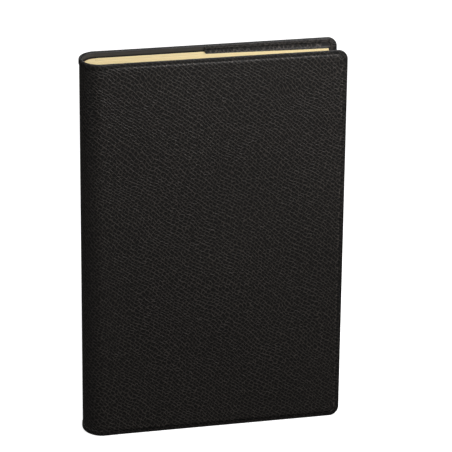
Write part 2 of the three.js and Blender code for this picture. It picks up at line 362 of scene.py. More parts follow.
def staggered_walls(nodes, place, across, along):
    """Nearness to the walls of an uneven net: rows along x, each cut by cross walls of its own."""
    row_shift, unevenness = 17.37, 0.75
    thin_cross_walls, corner_rounding = 1.1, 0.2
    axes = nodes.axes(place)
    level = nodes.math("DIVIDE", axes["Y"], across)
    shift = nodes.times(nodes.math("FLOOR", level), row_shift)
    step = nodes.plus(nodes.math("DIVIDE", axes["X"], along), shift)
    cuts = nodes.add(
        "ShaderNodeTexVoronoi",
        {"W": step, "Scale": 1.0, "Randomness": unevenness},
        voronoi_dimensions="1D",
        feature="DISTANCE_TO_EDGE",
    )
    to_row = nodes.math("PINGPONG", level, 0.5)
    to_cross = nodes.times(cuts.outputs["Distance"], thin_cross_walls * along / across)
    return nodes.math("SMOOTH_MIN", to_row, to_cross, corner_rounding)


def leatherette_material(finishes):
    """Cross-grained leatherette: a net of fine ridges round small pits, pressed smooth at welds."""
    made, shader, nodes = new_material("grained_leatherette", 0.5, specular=0.32)
    wrap = nodes.add("ShaderNodeUVMap", uv_map="wrap").outputs[0]
    pressed = nodes.attribute("pressed")
    turned = nodes.mapping(wrap, rotation=(0, 0, finishes.grain_slant))

    # A slow drift of the rows and a waver of each cell, each with a noise scale and a reach
    drifted = turned
    for scale, reach in ((34.0, 8.5 * MM), (230.0, 1.9 * MM), (470.0, 1.3 * MM)):
        drift = nodes.noise(turned, scale, output="Color")
        centred = nodes.vector_math("SUBTRACT", drift, (0.5, 0.5, 0.5))
        drifted = nodes.vector_math("ADD", drifted, nodes.vector_math("SCALE", centred, reach))

    # Pits in slanting rows, with thin ridges between them that are worn in places
    pitch = finishes.grain_pitch
    row_pitch, ridge_width, lost_in_press = 0.84 * pitch, 0.25, 0.45
    walls = staggered_walls(nodes, drifted, row_pitch, pitch)
    ridge = nodes.remap(walls, 0.0, ridge_width, 1.0, 0.0)
    broken = nodes.noise(wrap, 420.0)
    worn = nodes.times(ridge, nodes.remap(broken, 0.3, 0.7, 0.4, 1.05))
    shown = nodes.times(worn, nodes.minus(1.0, nodes.times(pressed, lost_in_press)))

    # The rise from a weld up to the padding gets painted highlights, in a brighter copy of the ridge
    # colour. On a flap's slope next to the page block the grain's colour is taken away as painted
    # shade, leaving only its relief, with painted highlights over it.
    painted_shade_on_flap_slope, flap_slope_relief, flap_slope_highlight_share = 0.95, 4.0, 0.6
    least_painted_glint, painted_glint_brightness = 0.03, 2.6
    slope = nodes.band(pressed, (0.05, 0.30), (0.35, 0.62))
    flap_slope = nodes.band(pressed, (0.40, 0.48), (0.56, 0.64))
    # Painted shade: on a flap's slope most of the lighter grain colour is taken away
    shown = nodes.times(shown, nodes.minus(1.0, nodes.times(flap_slope, painted_shade_on_flap_slope)))
    relief = nodes.times(nodes.times(flap_slope, worn), flap_slope_relief)
    painted_glints = nodes.times(ridge, nodes.remap(broken, 0.35, 0.6))
    painted_glints = nodes.math("MAXIMUM", painted_glints, least_painted_glint)
    painted_highlight_mask = nodes.math("MAXIMUM", slope, nodes.times(flap_slope, flap_slope_highlight_share))

    colour = nodes.mix(pressed, rgba(finishes.pit), rgba(finishes.pressed))
    colour = nodes.mix(shown, colour, rgba(finishes.ridge))
    # Painted highlights: a brighter copy of the ridge colour on the rise to the padding and on a flap's
    # slope
    painted_glint_colour = rgba(finishes.ridge, painted_glint_brightness)
    colour = nodes.mix(nodes.times(painted_highlight_mask, painted_glints), colour, painted_glint_colour)
    patches = nodes.remap(nodes.noise(wrap, 16.0, 3.0, 0.6), 0.3, 0.7, 0.0, 0.16)
    colour = nodes.mix(patches, colour, rgba(finishes.pit, 0.6))
    nodes.feed(shader.inputs["Base Color"], colour)
    nodes.feed(shader.inputs["Roughness"], nodes.remap(shown, 0.0, 1.0, 0.58, 0.44, smooth=False))
    fine = nodes.times(nodes.noise(wrap, 2600.0, 3.0, 0.6), 0.16)
    add_bump(nodes, shader, nodes.plus(nodes.plus(shown, fine), relief), 0.18 * MM, 0.9)
    return made


def lining_material(finishes):
    """Smooth lining with faint level streaks."""
    made, shader, nodes = new_material("smooth_lining", 0.42)
    place = nodes.object_place()
    streaks = nodes.noise(nodes.mapping(place, scale=(18, 18, 900)), 1.0, 3.0, 0.6)
    speckle = nodes.noise(place, 2200.0, 2.0, 0.6)
    colour = nodes.mix(
        nodes.remap(streaks, 0.3, 0.7), rgba(finishes.lining, 0.82), rgba(finishes.lining, 1.16))
    specks = nodes.remap(speckle, 0.45, 0.75, 0.0, 0.25)
    colour = nodes.mix(specks, colour, rgba(finishes.lining, 0.6))

    # Painted shade: the lining is darker from just past the black card's head and tail edges inwards,
    # where the gap between card and lining lies in shadow
    from_middle = nodes.math("ABSOLUTE", nodes.minus(nodes.axes(place)["Z"], HEIGHT / 2))
    card_edge = HEIGHT / 2 - CARD_LOW.z
    painted_card_shade = nodes.remap(from_middle, card_edge + 0.4 * MM, card_edge + 1.1 * MM, 1.0, 0.0)
    colour = nodes.mix(painted_card_shade, colour, rgba(finishes.card, 0.8))
    nodes.feed(shader.inputs["Base Color"], colour)
    nodes.feed(shader.inputs["Roughness"], nodes.remap(streaks, 0.2, 0.8, 0.36, 0.48))
    add_bump(nodes, shader, nodes.plus(streaks, nodes.times(speckle, 0.5)), 0.05 * MM, 0.6)
    return made


def card_material(finishes):
    """Black card with a faint fibre."""
    made, shader, nodes = new_material("black_card", 0.62, specular=0.3)
    fibre = nodes.noise(nodes.object_place(), 900.0, 4.0, 0.65)
    colour = nodes.mix(
        nodes.remap(fibre, 0.3, 0.7), rgba(finishes.card, 0.75), rgba(finishes.card, 1.5))
    nodes.feed(shader.inputs["Base Color"], colour)
    add_bump(nodes, shader, fibre, 0.04 * MM, 0.5)
    return made


def paper_material(finishes):
    """Cream paper. Each leaf has its own slight shade, and cut edges show light and dark bands."""
    made, shader, nodes = new_material("cream_paper", 0.82, specular=0.2)
    place = nodes.object_place()
    paper = rgba(finishes.paper)
    deep = nodes.mix(1.0, paper, rgba(finishes.paper_shade), "MULTIPLY")
    light = nodes.mix(0.5, paper, rgba(finishes.paper_light))
    shade = nodes.attribute("leaf_shade")
    colour = nodes.mix(nodes.remap(shade, 0.0, 1.0, 0.0, 0.55), paper, deep)

    # Bands of leaves, which show at head and tail and not on the face of a leaf
    bands = nodes.noise(nodes.mapping(place, scale=(24, 620, 24)), 1.0, 3.0, 0.6)
    normal = nodes.add("ShaderNodeNewGeometry").outputs["True Normal"]
    cut_edge = nodes.math("ABSOLUTE", nodes.axes(normal)["Z"])
    colour = nodes.mix(nodes.times(cut_edge, nodes.remap(bands, 0.5, 0.68, 0.0, 0.6)), colour, light)
    colour = nodes.mix(nodes.times(cut_edge, nodes.remap(bands, 0.30, 0.46, 0.5, 0.0)), colour, deep)

    fibre = nodes.noise(place, 1400.0, 3.0, 0.6)
    colour = nodes.mix(nodes.remap(fibre, 0.4, 0.8, 0.0, 0.12), colour, deep)
    nodes.feed(shader.inputs["Base Color"], colour)
    add_bump(nodes, shader, fibre, 0.02 * MM, 0.4)
    return made


def fibre_material(name, colour, pitch, roughness=0.9, depth=0.06 * MM):
    """Board, kraft paper, foam or thread: one tone broken up by its own fibre or cells."""
    made, shader, nodes = new_material(name, roughness, specular=0.2)
    place = nodes.object_place()
    fibre = nodes.noise(place, 1.0 / pitch, 4.0, 0.65)
    cloudy = nodes.noise(place, 60.0)
    tone = nodes.mix(nodes.remap(fibre, 0.3, 0.7), rgba(colour, 0.72), rgba(colour, 1.12))
    tone = nodes.mix(nodes.remap(cloudy, 0.35, 0.7, 0.0, 0.25), tone, rgba(colour, 0.8))
    nodes.feed(shader.inputs["Base Color"], tone)
    add_bump(nodes, shader, fibre, depth, 0.8)
    return made


MATERIAL_MAKERS = {
    "grained_leatherette": leatherette_material,
    "smooth_lining": lining_material,
    "black_card": card_material,
    "cream_paper": paper_material,
}
FIBRES = {
    "grey_board": {"colour": (0.27, 0.235, 0.18), "pitch": 0.9 * MM},
    "kraft_strip": {"colour": (0.40, 0.255, 0.125), "pitch": 0.7 * MM},
    "padding_foam": {
        "colour": (0.17, 0.165, 0.155), "pitch": 0.4 * MM, "roughness": 0.95, "depth": 0.2 * MM},
    "linen_thread": {"colour": (0.75, 0.69, 0.58), "pitch": 0.12 * MM},
}


def material(name):
    """The material of that name, made when it is first asked for."""
    found = bpy.data.materials.get(name)
    if found:
        return found
    if name in FIBRES:
        return fibre_material(name, **FIBRES[name])
    return MATERIAL_MAKERS[name](bpy.context.scene.diary_finishes)


# Shapes
def smoothstep(value):
    value = min(1.0, max(0.0, value))
    return value * value * (3 - 2 * value)


def lerp(a, b, share):
    return a + (b - a) * share


def spread(first, last, count):
    return [lerp(first, last, step / (count - 1)) for step in range(count)]


class Surface:
    """Vertices, faces and wrap coordinates of a mesh that is being put together"""

    def __init__(self):
        self.points, self.wrap, self.pressed, self.faces = [], [], [], []

    def add(self, point, wrap=(0.0, 0.0), pressed=0.0):
        self.points.append(point)
        self.wrap.append(wrap)
        self.pressed.append(pressed)
        return len(self.points) - 1

    def strip(self, first, second):
        """Quads between two rows of vertices."""
        for i in range(len(first) - 1):
            self.faces.append((first[i], first[i + 1], second[i + 1], second[i]))

    def to_object(self, name, finish, smooth_angle=40):
        mesh = bpy.data.meshes.new(name)
        mesh.from_pydata(self.points, [], self.faces)
        layer = mesh.uv_layers.new(name="wrap")
        for loop in mesh.loops:
            layer.data[loop.index].uv = self.wrap[loop.vertex_index]
        attribute = mesh.attributes.new("pressed", "FLOAT", "POINT")
        attribute.data.foreach_set("value", self.pressed)
        work = bmesh.new()
        work.from_mesh(mesh)
        bmesh.ops.remove_doubles(work, verts=work.verts, dist=1e-7)
        bmesh.ops.recalc_face_normals(work, faces=work.faces)
        work.to_mesh(mesh)
        work.free()
        mesh.materials.append(material(finish))
        mesh.shade_smooth()
        mesh.set_sharp_from_angle(angle=math.radians(smooth_angle))
        obj = bpy.data.objects.new(name, mesh)
        bpy.context.scene.collection.objects.link(obj)
        return obj


def arch_length(angle, steps=64):
    """Length of the outer line of the spine from the front joint to an angle round it."""
    reach = bpy.context.scene.diary_cover.spine_reach
    points = [
        Vector((reach * math.sin(angle * i / steps), HALF_DEPTH * math.cos(angle * i / steps)))
        for i in range(steps + 1)
    ]
    return sum((b - a).length for a, b in zip(points, points[1:]))


class Ring:
    """One line round a panel: its distance from the head and from the fore-edge, its corner radius,
    its depth below the cover's outer face, and how hard the material is pressed there. At the spine
    it has a distance from the head, and a depth at the joint and at the crown."""

    def __init__(self, head, depth, fore=None, radius=None, pressed=0.0, spine=None):
        corner, least_radius = bpy.context.scene.diary_cover.corner_radius, 0.8 * MM
        self.head = head * MM
        self.fore = self.head if fore is None else fore * MM
        self.radius = max(corner - self.head, least_radius) if radius is None else radius * MM
        self.depth = depth * MM
        self.pressed = pressed
        at_head, at_joint, at_crown = spine or (head, depth, depth)
        self.spine_head = at_head * MM
        self.joint_depth = at_joint * MM
        self.crown_depth = at_crown * MM


def panel_columns(left, right, fine_to=None):
    """Places of a panel's upright lines: close together where it bends, wide apart elsewhere."""
    fine_steps, past_bend, wide_pitch = 9, 10 * MM, 4.5 * MM
    columns = []
    start = left
    if fine_to is not None:
        start = fine_to + past_bend
        columns += spread(left, fine_to, fine_steps)[:-1]
        columns += spread(fine_to, start, fine_steps)[:-1]
    count = max(3, round((right - start) / wide_pitch))
    return columns + spread(start, right, count)


class Panel:
    """A flat layer of a cover, with rings along head, fore-edge and tail and a grid inside them."""

    corner_steps = 14

    def __init__(self, facing, left, outer, inner, fade=None, fine_to=None, rows=40, stretch=1.0):
        clear_of_corner = 0.6 * MM
        self.facing, self.fade, self.stretch = facing, fade, stretch
        self.outer, self.inner = outer, inner
        deepest = outer[-1]
        reach = max(deepest.fore, deepest.head) + deepest.radius
        self.columns = panel_columns(left, FORE_X - reach - clear_of_corner, fine_to)
        edge = deepest.head + deepest.radius + clear_of_corner
        self.rows = spread(HEIGHT - edge, edge, rows)
        self.surface = Surface()
        self.stations = list(self.walk())
        self.middle = len(self.columns) + self.corner_steps // 2
        self.round_spine = arch_length(math.pi)

    def walk(self):
        """Places along a ring, from the spine along the head and round to the spine again."""
        angles = spread(math.pi / 2, 0.0, self.corner_steps + 1)
        yield from (("head", x) for x in self.columns)
        yield from (("head_corner", angle) for angle in angles)
        yield from (("fore", z) for z in self.rows)
        yield from (("tail_corner", -angle) for angle in reversed(angles))
        yield from (("tail", x) for x in reversed(self.columns))

    def share(self, x, outside):
        """0 at the spine and 1 where the board's own section is reached."""
        if self.fade is None:
            return 1.0
        length = self.fade if outside else LAND_END_X - JOINT_X
        return smoothstep((x - JOINT_X) / length)

    def place(self, ring, station, outside):
        """Where a ring lies at a station: x, z and depth."""
        kind, value = station
        if kind in ("head", "tail"):
            share = self.share(value, outside)
            inset = lerp(ring.spine_head, ring.head, share)
            depth = lerp(ring.joint_depth, ring.depth, share)
            return value, (HEIGHT - inset if kind == "head" else inset), depth
        if kind == "fore":
            return FORE_X - ring.fore, value, ring.depth
        x = FORE_X - ring.fore - ring.radius * (1 - math.cos(value))
        up = ring.head + ring.radius * (1 - abs(math.sin(value)))
        return x, (HEIGHT - up if kind == "head_corner" else up), ring.depth

    def outward(self, station):
        """The way out of the panel at a station, in x and z."""
        kind, value = station
        if kind in ("head_corner", "tail_corner"):
            return math.cos(value), math.sin(value)
        return {"head": (0, 1), "tail": (0, -1), "fore": (1, 0)}[kind]

    def wrap_at(self, x, z):
        """Place on the one sheet that goes from the front cover round the spine to the back cover."""
        along = x - JOINT_X
        return (along if self.facing < 0 else -self.round_spine - along, z)

    def layer(self, rings, outside, path):
        """Vertices of one face of the panel. Gives its rings, and its edge at the spine."""
        deepest = rings[-1]
        base = [self.place(deepest, station, outside) for station in self.stations]
        lines = []
        for ring, past in zip(rings, path):
            line = []
            for station, (base_x, base_z, _) in zip(self.stations, base):
                x, z, depth = self.place(ring, station, outside)
                out_x, out_z = self.outward(station)
                wrap = self.wrap_at(base_x + out_x * past, base_z + out_z * past)
                y = self.facing * (HALF_DEPTH - depth)
                line.append(self.surface.add((x, y, z), wrap, ring.pressed))
            lines.append(line)

        # The grid inside the last ring meets it halfway round each corner
        last = lines[-1]
        across = last[: self.middle + 1]
        down = last[self.middle: len(last) - self.middle]
        back = last[len(last) - self.middle - 1:][::-1]
        grid = [across]
        for j in range(1, len(down) - 1):
            z = self.surface.points[down[j]][2]
            row = []
            for i in range(len(across) - 1):
                x = self.surface.points[across[i]][0]
                depth = lerp(deepest.joint_depth, deepest.depth, self.share(x, outside))
                y = self.facing * (HALF_DEPTH - depth)
                row.append(self.surface.add((x, y, z), self.wrap_at(x, z), deepest.pressed))
            grid.append([*row, down[j]])
        grid.append(back)
        for first, second in zip(lines, lines[1:]):
            self.surface.strip(first, second)
        for first, second in zip(grid, grid[1:]):
            self.surface.strip(first, second)
        edge = [line[0] for line in lines] + [row[0] for row in grid[1:-1]]
        edge += [line[-1] for line in reversed(lines)]
        return lines, edge

    def build(self, name, finish, smooth_angle=40):
        outer_path = ring_path(self.outer, stretch=self.stretch)
        rim = abs(self.inner[0].depth - self.outer[0].depth)
        inner_path = [outer_path[0] + rim + step for step in ring_path(self.inner, from_edge=True)]
        outer_lines, outer_edge = self.layer(self.outer, True, outer_path)
        inner_lines, inner_edge = self.layer(self.inner, False, inner_path)
        self.surface.strip(outer_lines[0], inner_lines[0])
        self.surface.strip(outer_edge, inner_edge)
        return self.surface.to_object(name, finish, smooth_angle)

    def heights(self):
        """Where a piece round the spine has points between its rings, to meet this panel."""
        inside = self.stations[self.middle + 1: -self.middle - 1]
        return [self.place(self.outer[-1], station, True)[1] for station in inside]


def ring_path(rings, from_edge=False, stretch=1.0):
    """How far each ring lies along the section, from the innermost ring or from the edge. Where the
    material was drawn out over a slope, the grain is longer there and the path shorter."""
    steps = [0.0]
    ordered = rings if from_edge else rings[::-1]
    for a, b in zip(ordered, ordered[1:]):
        steps.append(steps[-1] + math.hypot(b.head - a.head, (b.depth - a.depth) / stretch))
    return steps if from_edge else steps[::-1]


def spine_piece(name, finish, panel, columns=56):
    """The part of a layer that goes round the spine, meeting the two panels at the joints."""
    surface = Surface()
    reach = bpy.context.scene.diary_cover.spine_reach
    heights = panel.heights()
    outer_path = ring_path(panel.outer)
    inner_path = [outer_path[0] + step for step in ring_path(panel.inner, from_edge=True)]
    faces = []
    for rings, path in ((panel.outer, outer_path), (panel.inner, inner_path)):
        last = rings[-1]
        lines = []
        for column in range(columns + 1):
            angle = math.pi * column / columns
            along = -arch_length(angle)

            def put(ring, z, v):
                x = JOINT_X - (reach - ring.crown_depth) * math.sin(angle)
                y = -(HALF_DEPTH - ring.joint_depth) * math.cos(angle)
                return surface.add((x, y, z), (along, v), ring.pressed)

            line = [put(ring, HEIGHT - ring.spine_head, HEIGHT - last.spine_head + step)
                    for ring, step in zip(rings, path)]
            line += [put(last, z, z) for z in heights]
            line += [put(ring, ring.spine_head, last.spine_head - step)
                     for ring, step in zip(rings[::-1], path[::-1])]
            lines.append(line)
        for first, second in zip(lines, lines[1:]):
            surface.strip(first, second)
        faces.append(lines)
    outer, inner = faces
    surface.strip(outer[0], inner[0])
    surface.strip(outer[-1], inner[-1])
    for end in (0, -1):
        surface.strip([line[end] for line in outer], [line[end] for line in inner])
    return surface.to_object(name, finish)


def skin_rings():
    """Section of the leatherette, from its edge inwards: outside, then the turned-in side."""
    sizes = bpy.context.scene.diary_cover
    skin, press, turned = sizes.skin / MM, sizes.press_depth / MM, sizes.turned_edge / MM
    head, fore = sizes.border_head / MM, sizes.border_fore / MM
    hem, rise = sizes.hem_height / MM, sizes.hem_rise / MM
    under = (COVER_HIGH.y + HALF_DEPTH) / MM
    crown = under - sizes.inner_rise / MM
    outside = [
        Ring(0.00, press + 0.50, pressed=1, spine=(0.00, 0.80, 0.80 - rise)),
        Ring(0.07, press + 0.30, pressed=1, spine=(0.06, 0.58, 0.55 - rise)),
        Ring(0.20, press + 0.15, pressed=1, spine=(0.18, 0.36, 0.32 - rise)),
        Ring(0.40, press + 0.06, pressed=0.9, spine=(0.36, 0.18, 0.15 - rise)),
        Ring(0.70, press + 0.01, pressed=0.8, spine=(0.65, 0.05, 0.04 - rise)),
        Ring(1.20, press, pressed=0.7, spine=(1.10, 0.00, -rise)),
        Ring(head - 0.55, press, fore - 0.80, pressed=0.7, spine=(hem - 0.95, 0.00, -rise)),
        Ring(head - 0.20, press, fore - 0.30, pressed=0.7, spine=(hem - 0.35, 0.00, -rise)),
        # From here to the padding the pressed value falls through 0.6 and 0.3, where the leatherette
        # material paints highlights
        Ring(head, press - 0.02, fore, pressed=0.6, spine=(hem, 0.02, 0.02 - rise)),
        Ring(head + 0.23, press - 0.12, fore + 0.32, pressed=0.3, spine=(hem + 0.20, 0.07, 0.15 - rise)),
        Ring(head + 0.51, 0.14, fore + 0.75, spine=(hem + 0.35, 0.10, 0.02)),
        Ring(head + 0.85, 0.03, fore + 1.25, spine=(hem + 0.65, 0.08, 0.05)),
        Ring(head + 1.45, 0.00, fore + 1.85, spine=(hem + 1.25, 0.00, 0.00)),
        Ring(head + 2.45, 0.00, fore + 2.70, spine=(hem + 2.25, 0.00, 0.00)),
        Ring(head + 4.05, 0.00, fore + 4.10, spine=(hem + 3.25, 0.00, 0.00)),
    ]
    turned_in = [
        Ring(0.00, under - 0.50, spine=(0.00, under - 0.60, crown - 0.53)),
        Ring(0.07, under - 0.30, spine=(0.06, under - 0.35, crown - 0.33)),
        Ring(0.20, under - 0.15, spine=(0.18, under - 0.17, crown - 0.17)),
        Ring(0.45, under - 0.04, spine=(0.36, under - 0.06, crown - 0.06)),
        Ring(0.80, under, spine=(0.60, under - 0.01, crown - 0.01)),
        Ring(1.60, under, spine=(0.75, under, crown)),
        Ring(2.60, under, spine=(0.85, under, crown)),
        Ring(3.60, under, spine=(0.95, under - 0.01, crown - 0.01)),
        Ring(turned, under, spine=(0.97, under - 0.15, crown - 0.05)),
        Ring(turned, 1.40, spine=(0.975, 1.30, 0.95)),
        Ring(turned, 1.00, spine=(0.98, 1.00, 0.80)),
        Ring(turned, skin + 0.04, spine=(0.99, skin + 0.04, skin + 0.02)),
        Ring(turned + 0.20, skin, spine=(1.10, skin, skin)),
        Ring(turned + 1.00, skin, spine=(3.00, skin, skin)),
        Ring(turned + 2.00, skin, spine=(6.20, skin, skin)),
    ]
    for ring in turned_in:
        ring.pressed = 1.0
    return outside, turned_in


def sheet_rings(node, radius=None):
    """Section of an even sheet with softly rounded edges, at the place of its solid."""
    low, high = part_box(f"front_{node}")
    edge, edge_fore = low.z / MM, (FORE_X - high.x) / MM
    near, far = (low.y + HALF_DEPTH) / MM, (high.y + HALF_DEPTH) / MM
    rise = bpy.context.scene.diary_cover.inner_rise / MM
    least_radius = 0.5
    rounding = ((0.0, 0.37), (0.03, 0.18), (0.10, 0.05), (0.22, 0.0), (0.6, 0.0), (2.0, 0.0), (5.0, 0.0))

    def rings(start, thick):
        found = []
        for inset, share in rounding:
            depth = start + thick * share
            corner = None if radius is None else max(radius - inset, least_radius)
            found.append(Ring(edge + inset, depth, fore=edge_fore + inset, radius=corner,
                              spine=(edge + inset, depth, depth - rise)))
        return found

    return rings(near, far - near), rings(far, near - far)


def side_name(facing):
    return "front" if facing < 0 else "back"


def bend_at_joint(obj):
    """Bakes the piece's place into its mesh."""
    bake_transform(obj)


def all_round_layer(rings, finish, slot, pieces, nodes, **panel_settings):
    """One layer of the cover: a panel on each side, and a piece round the spine that joins them.
    The pieces and the nodes that they replace are named without their side, then for the spine."""
    panel = None
    for facing in (-1, 1):
        side = side_name(facing)
        panel = Panel(facing, JOINT_X, *rings, fine_to=LAND_END_X, **panel_settings)
        piece = panel.build(f"{side}_{pieces[0]}", finish)
        bend_at_joint(piece)
        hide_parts(f"{side}_{nodes[0]}")
    spine = spine_piece(pieces[1], finish, panel)
    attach(spine, "root")
    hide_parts(nodes[1])


class DIARY_OT_leatherette(bpy.types.Operator):
    """Make the leatherette of both covers and of the spine"""

    bl_idname = "diary.leatherette"
    bl_label = "Leatherette"

    def execute(self, context):
        all_round_layer(
            skin_rings(), "grained_leatherette", "leatherette",
            pieces=("cover_leatherette", "spine_leatherette"), nodes=("cover_skin", "spine_skin"),
            fade=context.scene.diary_cover.border_fade)
        return {"FINISHED"}


class DIARY_OT_lining(bpy.types.Operator):
    """Make the smooth lining inside both covers and the spine"""

    bl_idname = "diary.lining"
    bl_label = "Lining"

    def execute(self, context):
        all_round_layer(
            sheet_rings("cover_lining"), "smooth_lining", "cover_lining",
            pieces=("cover_inner_lining", "spine_inner_lining"),
            nodes=("cover_lining", "spine_lining"), fade=2 * MM, rows=24)
        return {"FINISHED"}


class DIARY_OT_card_covers(bpy.types.Operator):
    """Make the page block's black card cover, one piece round the spine and one in each pocket"""

    bl_idname = "diary.card_covers"
    bl_label = "Card covers"

    def execute(self, context):
        all_round_layer(
            sheet_rings("card_cover", radius=1.2), "black_card", "black_card",
            pieces=("card", "spine_card"), nodes=("card_cover", "card_cover_spine"),
            fade=2 * MM, rows=16)
        return {"FINISHED"}


class DIARY_OT_padding(bpy.types.Operator):
    """Make the thin foam under the leatherette of each cover"""

    bl_idname = "diary.padding"
    bl_label = "Padding"

    def execute(self, context):
        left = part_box("front_cover_foam")[0].x
        rings = sheet_rings("cover_foam", radius=2.2)
        for facing in (-1, 1):
            side = side_name(facing)
            piece = Panel(facing, left, *rings, rows=20).build(f"{side}_cover_padding", "padding_foam")
            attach(piece, f"{side}_cover")
            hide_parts(f"{side}_cover_foam")
        return {"FINISHED"}


def flap_rings(facing):
    """Section of a pocket flap: welded flat to the lining, then rising over what the pocket holds."""
    sizes = bpy.context.scene.diary_pocket
    corner = bpy.context.scene.diary_cover.corner_radius / MM
    weld, weld_fore, thick = sizes.weld_head / MM, sizes.weld_fore / MM, sizes.flap / MM
    low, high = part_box(f"{side_name(facing)}_pocket_flap")
    near, far = (low.y, high.y) if facing < 0 else (-high.y, -low.y)
    lies_at = (HALF_DEPTH + near) / MM
    rise = (HALF_DEPTH + far) / MM - lies_at - thick
    start = low.z / MM
    narrowing, least_radius = 0.15, 0.6

    def ring(inset, depth, pressed):
        share = smoothstep((inset - start) / (weld - start))
        radius = lerp(corner - start, corner - weld_fore, share)
        radius -= narrowing * max(0.0, inset - weld)
        return Ring(inset, depth, fore=inset + (weld_fore - weld) * share,
                    radius=max(radius, least_radius), pressed=pressed)

    # Past the edge: how far the seen and the hidden side are rounded off, and how hard it is pressed
    edge = ((0.00, 0.27, 0.18, 1), (0.05, 0.23, 0.08, 0.04), (0.20, 0.19, 0.02, 0.04),
            (0.50, 0.15, 0, 0.04), (0.90, 0.09, 0, 0.04), (1.30, 0.04, 0, 0.04))

    # Past the weld: the pressed line, then the share of the rise that the pillow has reached
    weld_line = ((-0.24, 0, 0.04), (-0.06, 0.16, 1), (0.05, 0.16, 1))
    # Pressed values near 0.5 on the pillow's slope mark where the leatherette material paints shade and
    # highlights
    pillow = ((0.10, 0.03, 1), (0.16, 0.12, 0.8), (0.26, 0.36, 0.54), (0.42, 0.66, 0.51),
              (0.60, 0.78, 0.53), (0.75, 0.86, 0.8), (0.78, 0.87, 0.04), (1.4, 0.96, 0.04),
              (3.2, 1, 0))
    under_pillow = ((0.05, 0), (0.30, 0), (0.55, 0.05), (0.66, 0.22), (0.72, 0.45), (0.80, 0.68),
                    (0.90, 0.79), (1.0, 0.86), (1.5, 0.96), (1.9, 0.98), (2.4, 1), (4.0, 1))

    top = lies_at + thick
    seen = [ring(start + past, top - dip, pressed) for past, dip, _, pressed in edge]
    seen += [ring(weld + past, top - dip, pressed) for past, dip, pressed in weld_line]
    seen += [ring(weld + past, top + rise * share, pressed) for past, share, pressed in pillow]
    hidden = [ring(start + past, lies_at + dip, 1) for past, _, dip, _ in edge]
    hidden += [ring(weld + past, lies_at + rise * share, 1) for past, share in under_pillow]
    return seen, hidden


class DIARY_OT_pocket_flaps(bpy.types.Operator):
    """Make the welded pocket flap inside each cover"""

    bl_idname = "diary.pocket_flaps"
    bl_label = "Pocket flaps"

    def execute(self, context):
        for facing in (-1, 1):
            side = side_name(facing)
            panel = Panel(facing, FLAP_LOW.x, *flap_rings(facing), rows=36, stretch=5)
            piece = panel.build(f"{side}_pocket", "grained_leatherette", smooth_angle=60)
            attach(piece, f"{side}_cover")
            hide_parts(f"{side}_pocket_flap")
        return {"FINISHED"}


# Inputs of the leaf stack tree, by kind of socket
LEAF_INPUTS = {
    "NodeSocketGeometry": ("Geometry",),
    "NodeSocketInt": ("Leaves", "Columns", "Seed"),
    "NodeSocketFloat": (
        "First", "Pitch", "Thickness", "Height", "Middle height", "Gutter edge", "Fore-edge",
        "Hollow", "Block middle", "Block half", "Taper from", "Fore-edge share", "Unevenness"),
    "NodeSocketMaterial": ("Paper",),
}


def switched_on(sockets, name=None):
    """The socket in use, of those that a node holds for each data type."""
    return next(s for s in sockets if s.enabled and name in (None, s.name))


def random_value(nodes, seed, low=0.0, high=1.0):
    """A random number for each leaf."""
    node = nodes.add("FunctionNodeRandomValue", {"Seed": seed}, data_type="FLOAT")
    nodes.feed(switched_on(node.inputs, "Min"), low)
    nodes.feed(switched_on(node.inputs, "Max"), high)
    return switched_on(node.outputs)


